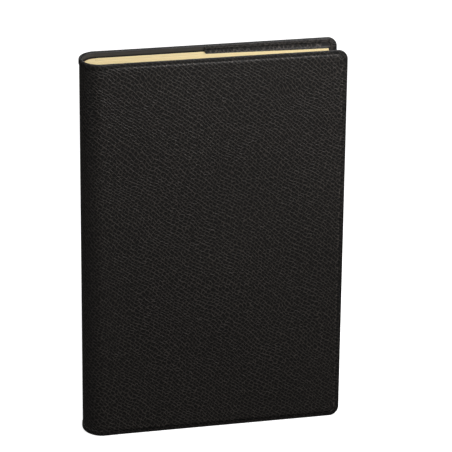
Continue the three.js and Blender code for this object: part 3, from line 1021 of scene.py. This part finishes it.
def leaf_stack_tree():
    """Geometry nodes for a stack of single leaves, each a thin closed sheet with a shade of its own."""
    found = bpy.data.node_groups.get("Leaf stack")
    if found:
        return found
    tree = bpy.data.node_groups.new("Leaf stack", "GeometryNodeTree")
    for kind, names in LEAF_INPUTS.items():
        for name in names:
            tree.interface.new_socket(name=name, in_out="INPUT", socket_type=kind)
    tree.interface.new_socket(name="Geometry", in_out="OUTPUT", socket_type="NodeSocketGeometry")
    nodes = Nodes(tree)
    given = nodes.add("NodeGroupInput").outputs

    leaf = nodes.add("GeometryNodeMeshCube", {
        "Size": nodes.vector(X=1.0, Y=given["Thickness"], Z=given["Height"]),
        "Vertices X": given["Columns"], "Vertices Y": 2, "Vertices Z": 2})
    line = nodes.add("GeometryNodeMeshLine", {
        "Count": given["Leaves"], "Start Location": nodes.vector(Y=given["First"]),
        "Offset": nodes.vector(Y=given["Pitch"])})
    placed = nodes.add("GeometryNodeInstanceOnPoints", {
        "Points": line.outputs[0], "Instance": leaf.outputs["Mesh"]})

    lift = random_value(
        nodes, given["Seed"], nodes.times(given["Unevenness"], -1.0), given["Unevenness"])
    uneven = nodes.add("GeometryNodeTranslateInstances", {
        "Instances": placed.outputs[0], "Translation": nodes.vector(Z=lift)})
    named = nodes.add(
        "GeometryNodeStoreNamedAttribute",
        {"Geometry": uneven.outputs[0], "Name": "leaf_shade"},
        data_type="FLOAT", domain="INSTANCE")
    tone_seed = nodes.plus(given["Seed"], 17.0)
    nodes.feed(switched_on(named.inputs, "Value"), random_value(nodes, tone_seed))
    real = nodes.add("GeometryNodeRealizeInstances", {"Geometry": named.outputs[0]})

    # Columns crowd towards the gutter, and the fore-edge follows the block's hollow
    place = nodes.axes(nodes.add("GeometryNodeInputPosition").outputs[0])
    crowded = nodes.math("POWER", nodes.plus(place["X"], 0.5), 2.0)
    off = nodes.math("DIVIDE", nodes.minus(place["Y"], given["Block middle"]), given["Block half"])
    curve = nodes.minus(1.0, nodes.times(off, off))
    fore = nodes.minus(given["Fore-edge"], nodes.times(curve, given["Hollow"]))
    width = nodes.minus(fore, given["Gutter edge"])
    x = nodes.plus(given["Gutter edge"], nodes.times(crowded, width))
    z = nodes.plus(place["Z"], given["Middle height"])

    # The block is thinner towards its fore-edge
    past = nodes.remap(x, given["Taper from"], given["Fore-edge"])
    lost = nodes.times(past, nodes.minus(1.0, given["Fore-edge share"]))
    block_front = nodes.minus(given["Block middle"], given["Block half"])
    from_front = nodes.minus(place["Y"], block_front)
    y = nodes.plus(block_front, nodes.times(from_front, nodes.minus(1.0, lost)))
    shaped = nodes.add("GeometryNodeSetPosition", {
        "Geometry": real.outputs[0], "Position": nodes.vector(X=x, Y=y, Z=z)})
    dressed = nodes.add("GeometryNodeSetMaterial", {
        "Geometry": shaped.outputs[0], "Material": given["Paper"]})
    nodes.add("NodeGroupOutput", {"Geometry": dressed.outputs[0]})
    return tree


def stack_of_leaves(name, values):
    """Runs the leaf stack tree and keeps its result as a plain mesh."""
    tree = leaf_stack_tree()
    obj = bpy.data.objects.new(name, bpy.data.meshes.new(name))
    bpy.context.scene.collection.objects.link(obj)
    modifier = obj.modifiers.new("Leaf stack", "NODES")
    modifier.node_group = tree
    for item in tree.interface.items_tree:
        if item.item_type == "SOCKET" and item.in_out == "INPUT" and item.name in values:
            modifier[item.identifier] = values[item.name]
    bpy.context.view_layer.update()
    graph = bpy.context.evaluated_depsgraph_get()
    made = bpy.data.meshes.new_from_object(
        obj.evaluated_get(graph), preserve_all_data_layers=True, depsgraph=graph)
    obj.modifiers.clear()
    obj.data = made
    if not made.polygons:
        raise RuntimeError(f"{name} came out empty")
    return obj


def fold_range(node):
    """The y range of a section or endpaper at its fold, where the block has its full depth."""
    order = ["front_endpaper", *SECTION_NAMES, "back_endpaper"]
    low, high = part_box(node)
    place = order.index(node) if node in order else 0
    if place:
        low.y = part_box(order[place - 1])[1].y + SECTION_GAP
    return low.y, high.y


def leaf_values(node, sizes, leaves, gutter_edge, seed):
    """What the leaf stack tree is given for a section, an endpaper or the booklet."""
    low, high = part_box(node)
    fold_low, fold_high = fold_range(node)
    block_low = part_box("front_endpaper")[0].y
    block_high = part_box("back_endpaper")[1].y
    pitch = (fold_high - fold_low) / leaves
    return {
        "Leaves": leaves,
        "Columns": 20,
        "First": fold_low + pitch / 2,
        "Pitch": pitch,
        "Thickness": pitch * sizes.leaf_share,
        "Height": high.z - low.z - 2 * sizes.unevenness,
        "Middle height": (high.z + low.z) / 2,
        "Gutter edge": gutter_edge,
        "Fore-edge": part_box("front_endpaper")[1].x,
        "Hollow": sizes.hollow,
        "Block middle": (block_low + block_high) / 2,
        "Block half": (block_high - block_low) / 2,
        "Taper from": FLAP_LOW.x,
        "Fore-edge share": sizes.fore_share,
        "Unevenness": sizes.unevenness,
        "Seed": seed,
        "Paper": material("cream_paper"),
    }


class DIARY_OT_pages(bpy.types.Operator):
    """Make the leaves of the ten sections, the two endpapers and the booklet"""

    bl_idname = "diary.pages"
    bl_label = "Pages"

    def execute(self, context):
        sizes = context.scene.diary_pages
        for number, (node, body) in enumerate(zip(SECTION_NAMES, PAGE_BODIES), start=1):
            values = leaf_values(node, sizes, sizes.leaves_a_section, JOINT_X, seed=number)
            self.bound_leaves(f"leaves_{number:02d}", values, node, body, sizes.gutter)
        for node, body in (("front_endpaper", PAGE_BODIES[0]), ("back_endpaper", PAGE_BODIES[-1])):
            values = leaf_values(node, sizes, 1, JOINT_X, seed=40)
            values["Thickness"] = values["Pitch"]
            self.bound_leaves(f"{node}_leaf", values, node, body, sizes.gutter)
        low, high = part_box("booklet_leaves")
        values = leaf_values("booklet_leaves", sizes, sizes.booklet_leaves, low.x, seed=60)
        values.update({"Fore-edge": high.x, "Hollow": 0.0, "Fore-edge share": 1.0})
        booklet = stack_of_leaves("booklet_pages", values)
        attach(booklet, "back_cover")
        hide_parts("booklet_leaves")
        return {"FINISHED"}

    def bound_leaves(self, name, values, node, body, gutter):
        """Makes the leaves of a section or endpaper, bakes their place into the mesh and hides the node
        they replace.
        """
        leaves = stack_of_leaves(name, values)
        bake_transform(leaves)
        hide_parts(node)


class DIARY_OT_sewn_back(bpy.types.Operator):
    """Make the folded backs of the sections inside the spine, notched where the threads pass"""

    bl_idname = "diary.sewn_back"
    bl_label = "Sewn back"

    def execute(self, context):
        sizes = context.scene.diary_pages
        low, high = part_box("sewn_back")
        reach, half = JOINT_X - low.x, high.y
        threads = sorted(sum(corner.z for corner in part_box(name)) / 2 for name in THREAD_NAMES)
        start, end = fold_range(SECTION_NAMES[0])
        fold = end - start
        pitch = fold + SECTION_GAP
        step = fold / sizes.leaves_a_section
        clear, shortest, widest_trim = 0.02 * MM, 0.05 * MM, 0.06
        flatness = 0.35
        chance = random.Random(5)
        surface = Surface()
        shades = []

        # There is room for one fold before the first section and for some behind the last
        number = -1
        while start + pitch * number < half:
            fold_low = start + pitch * number
            for leaf in range(sizes.leaves_a_section):
                y0 = fold_low + step * leaf + step * (1 - sizes.leaf_share) / 2
                y1 = y0 + step * sizes.leaf_share
                far = max(abs(y0), abs(y1))
                if far >= half - clear:
                    continue
                off = (y0 + y1) / 2 - (fold_low + fold / 2)
                scallop = fold / 2 - math.sqrt(max(0.0, (fold / 2) ** 2 - off ** 2))
                left = JOINT_X - reach * math.sqrt(1 - (far / half) ** 2)
                left = min(left + flatness * scallop + clear, JOINT_X - shortest)
                trim = chance.uniform(0, widest_trim) * MM
                outline = self.outline(left, low.z + trim, high.z - trim, threads, sizes)
                self.leaf(surface, y0, y1, outline)
                shades.append(chance.random())
            number += 1
        piece = surface.to_object("sewn_section_backs", "cream_paper", 20)
        shade = piece.data.attributes.new("leaf_shade", "FLOAT", "POINT")
        each = len(piece.data.vertices) // len(shades)
        shade.data.foreach_set("value", [tone for tone in shades for _ in range(each)])
        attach(piece, "root")
        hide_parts("sewn_back")
        return {"FINISHED"}

    def outline(self, left, bottom, top, threads, sizes):
        """The folded edge of one leaf, which steps back round each thread."""
        clear = 0.02 * MM
        back = min(left + sizes.notch_depth, JOINT_X - clear)
        wide = sizes.notch_width / 2
        points = [(left, bottom)]
        for middle in threads:
            points += [(left, middle - wide), (back, middle - wide),
                       (back, middle + wide), (left, middle + wide)]
        return [*points, (left, top)]

    def leaf(self, surface, y0, y1, outline):
        """One thin leaf, from its folded edge to the joint."""
        near = [surface.add((x, y0, z)) for x, z in outline]
        far = [surface.add((x, y1, z)) for x, z in outline]
        near_right = [surface.add((JOINT_X, y0, z)) for x, z in outline]
        far_right = [surface.add((JOINT_X, y1, z)) for x, z in outline]
        for first, second in (
                (near, far), (near_right, far_right), (near, near_right), (far, far_right)):
            surface.strip(first, second)
        for end in (0, -1):
            surface.faces.append((near[end], far[end], far_right[end], near_right[end]))


class DIARY_OT_inner_pieces(bpy.types.Operator):
    """Give the boards, stiffener, backing strip, threads and the booklet's cover their finishes"""

    bl_idname = "diary.inner_pieces"
    bl_label = "Boards and binding"

    def execute(self, context):
        finishes = {
            "front_cover_board": "grey_board",
            "back_cover_board": "grey_board",
            "spine_stiffener": "grey_board",
            "backing_strip": "kraft_strip",
            "booklet_cover": "cream_paper",
        }
        finishes.update(dict.fromkeys(THREAD_NAMES, "linen_thread"))
        for node, finish in finishes.items():
            mesh = frame["nodes"][node].data
            mesh.materials.clear()
            mesh.materials.append(material(finish))
        return {"FINISHED"}


def camera_matrix(studio):
    """Where the camera stands, from its turn, tilt and roll and what it aims at."""
    right = Vector((math.cos(studio.turn), -math.sin(studio.turn), 0))
    forward = Vector((
        math.sin(studio.turn) * math.cos(studio.tilt),
        math.cos(studio.turn) * math.cos(studio.tilt),
        -math.sin(studio.tilt),
    ))
    up = right.cross(forward)
    rolled_right = right * math.cos(studio.roll) + up * math.sin(studio.roll)
    rolled_up = up * math.cos(studio.roll) - right * math.sin(studio.roll)
    spine_middle = Vector((SPINE_LOW.x, 0, HEIGHT / 2))
    aim = spine_middle + rolled_right * studio.aside + rolled_up * studio.above
    matrix = Matrix((rolled_right, rolled_up, -forward)).transposed().to_4x4()
    matrix.translation = aim - forward * studio.distance
    return matrix


# Name, place, aim, width and height, and power of each light
LIGHTS = (
    ("key_light", (0.25, -0.31, 0.53), (0, 0, 0.14), (0.28, 0.20), 2.9),
    ("top_light", (-0.10, -0.05, 1.0), (0, 0, 0.2), (0.9, 0.6), 4.3),
    ("fill_light", (1.3, -1.2, 0.6), (0, 0, 0.1), (1.2, 1.2), 0.2),
    ("left_light", (-1.1, -0.4, 0.4), (0, 0, 0.1), (0.9, 0.9), 2.3),
    ("back_light", (0.35, 1.25, 0.2), (0, 0, 0.1), (1.4, 0.3), 6.5),
)


def add_light(name, place, aim, size, power):
    light = bpy.data.lights.new(name, "AREA")
    light.shape = "RECTANGLE"
    light.size, light.size_y = size
    light.energy = power
    obj = bpy.data.objects.new(name, light)
    obj.location = place
    obj.rotation_euler = (Vector(aim) - Vector(place)).to_track_quat("-Z", "Y").to_euler()
    bpy.context.scene.collection.objects.link(obj)


class DIARY_OT_stage(bpy.types.Operator):
    """Make the camera, the studio light and the pale floor"""

    bl_idname = "diary.stage"
    bl_label = "Stage"

    def execute(self, context):
        scene = context.scene
        studio = scene.diary_studio
        camera = bpy.data.cameras.new("camera")
        camera.lens = studio.lens
        camera.sensor_width = 36
        camera.clip_end = 60
        viewer = bpy.data.objects.new("camera", camera)
        viewer.matrix_world = camera_matrix(studio)
        scene.collection.objects.link(viewer)
        scene.camera = viewer
        scene.view_settings.view_transform = "Standard"
        for light in LIGHTS:
            add_light(*light)
        self.world(scene)
        self.floor(scene)
        return {"FINISHED"}

    def world(self, scene):
        """White to look at, and a dim even light on the object."""
        dim, white = 0.035, 1.0
        world = bpy.data.worlds.new("studio")
        world.use_nodes = True
        scene.world = world
        nodes = Nodes(world.node_tree)
        background = next(n for n in world.node_tree.nodes if n.type == "BACKGROUND")
        background.inputs["Color"].default_value = (1, 1, 1, 1)
        seen = nodes.add("ShaderNodeLightPath").outputs["Is Camera Ray"]
        nodes.feed(background.inputs["Strength"], nodes.remap(seen, 0, 1, dim, white, smooth=False))

    def floor(self, scene):
        """A wide pale disc just under the diary, which glows so that it stays white."""
        radius, below, grey, glow = 6.0, 0.05 * MM, 0.82, 0.72
        mesh = bpy.data.meshes.new("floor")
        work = bmesh.new()
        bmesh.ops.create_circle(work, cap_ends=True, cap_tris=False, segments=96, radius=radius)
        work.to_mesh(mesh)
        work.free()
        mesh.transform(Matrix.Translation((0, 0, -below)))
        floor = bpy.data.objects.new("floor", mesh)
        scene.collection.objects.link(floor)
        finish, shader, _ = new_material("pale_floor", 0.9, specular=0.0)
        shader.inputs["Base Color"].default_value = (grey, grey, grey, 1)
        shader.inputs["Emission Color"].default_value = (1, 1, 1, 1)
        shader.inputs["Emission Strength"].default_value = glow
        mesh.materials.append(finish)
        floor.visible_diffuse = False
        floor.visible_glossy = False


class DIARY_PT_panel(bpy.types.Panel):
    """Lists the diary's pieces"""

    bl_idname = "DIARY_PT_panel"
    bl_label = "Desk diary"
    bl_space_type = "VIEW_3D"
    bl_region_type = "UI"
    bl_category = "Diary"

    def draw(self, context):
        for step in STEPS:
            self.layout.operator(step.bl_idname)


GROUPS = {
    "diary_cover": DiaryCoverSizes,
    "diary_pocket": DiaryPocketSizes,
    "diary_pages": DiaryPageSizes,
    "diary_finishes": DiaryFinishes,
    "diary_studio": DiaryStudio,
}
STEPS = (
    DIARY_OT_stage,
    DIARY_OT_leatherette,
    DIARY_OT_lining,
    DIARY_OT_padding,
    DIARY_OT_pocket_flaps,
    DIARY_OT_card_covers,
    DIARY_OT_pages,
    DIARY_OT_sewn_back,
    DIARY_OT_inner_pieces,
)


def register():
    for group in (*GROUPS.values(), *STEPS, DIARY_PT_panel):
        bpy.utils.register_class(group)
    for name, group in GROUPS.items():
        setattr(bpy.types.Scene, name, bpy.props.PointerProperty(type=group))


def unregister():
    for name in GROUPS:
        delattr(bpy.types.Scene, name)
    for group in reversed((*GROUPS.values(), *STEPS, DIARY_PT_panel)):
        bpy.utils.unregister_class(group)


def main():
    register()
    for step in STEPS:
        area, name = step.bl_idname.split(".")
        getattr(getattr(bpy.ops, area), name)()


if __name__ == "__main__":
    main()
